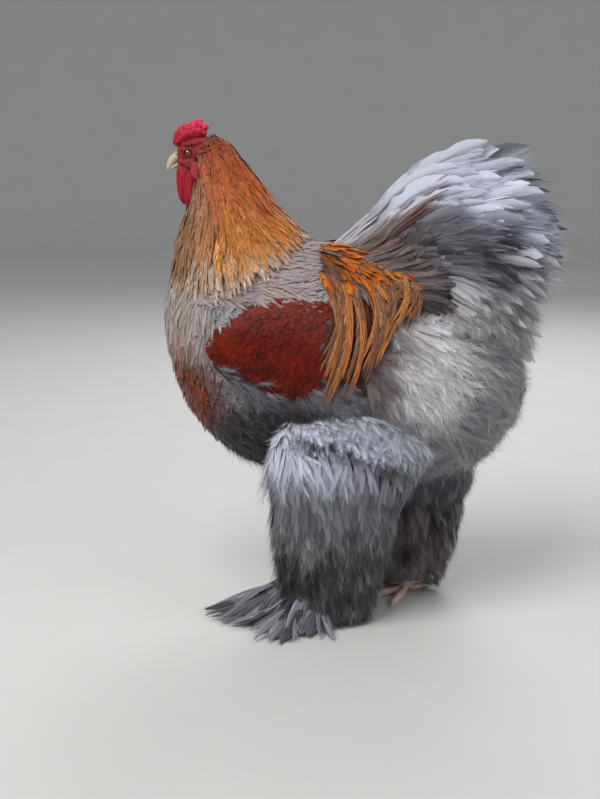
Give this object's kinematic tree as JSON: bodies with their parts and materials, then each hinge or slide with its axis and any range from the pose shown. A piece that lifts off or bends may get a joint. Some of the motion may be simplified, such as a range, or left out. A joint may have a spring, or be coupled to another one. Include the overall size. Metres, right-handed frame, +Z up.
{
  "type": "brahma chicken",
  "caption": "Still, life-size model of a brahma cock: deep body, flared hackle, full arched tail, pea comb, and feathers down the legs to the toes.",
  "frame": {"origin": "on the floor, under the centre of the bounding box", "axes": "+Z up; the bird faces -X, and its left side is towards -Y"},
  "size_m": [0.5798, 0.316, 0.7146],
  "materials": {
    "slate": "soft blue-grey body feathers",
    "smoke": "matte lavender-grey long feathers",
    "gold": "satin golden-orange hackle feathers",
    "amber": "satin orange saddle feathers with dark centres",
    "mahogany": "satin deep red-brown wing feathers",
    "comb": "fleshy, finely pimpled, bright red",
    "face": "bare skin, dull red",
    "horn": "pale horn, half gloss",
    "iris": "wet gloss, red-brown round a black pupil",
    "toe": "scaly skin, pale pink"
  },
  "bodies": {
    "root": {"torso": "slate", "head": "face", "beak_upper": "horn", "beak_lower": "horn", "comb": "comb", "neck": "gold", "saddle": "amber", "tail": "smoke", "eye_left": "iris", "eye_right": "iris", "wattle_left": "comb", "wattle_right": "comb", "ear_lobe_left": "comb", "ear_lobe_right": "comb", "wing_left": "mahogany", "wing_right": "mahogany", "thigh_left": "slate", "thigh_right": "slate", "shank_left": "smoke", "shank_right": "smoke", "foot_left": "toe", "foot_right": "toe", "claw_inner_left": "horn", "claw_middle_left": "horn", "claw_outer_left": "horn", "claw_hind_left": "horn", "claw_inner_right": "horn", "claw_middle_right": "horn", "claw_outer_right": "horn", "claw_hind_right": "horn"}
  },
  "joints": []
}
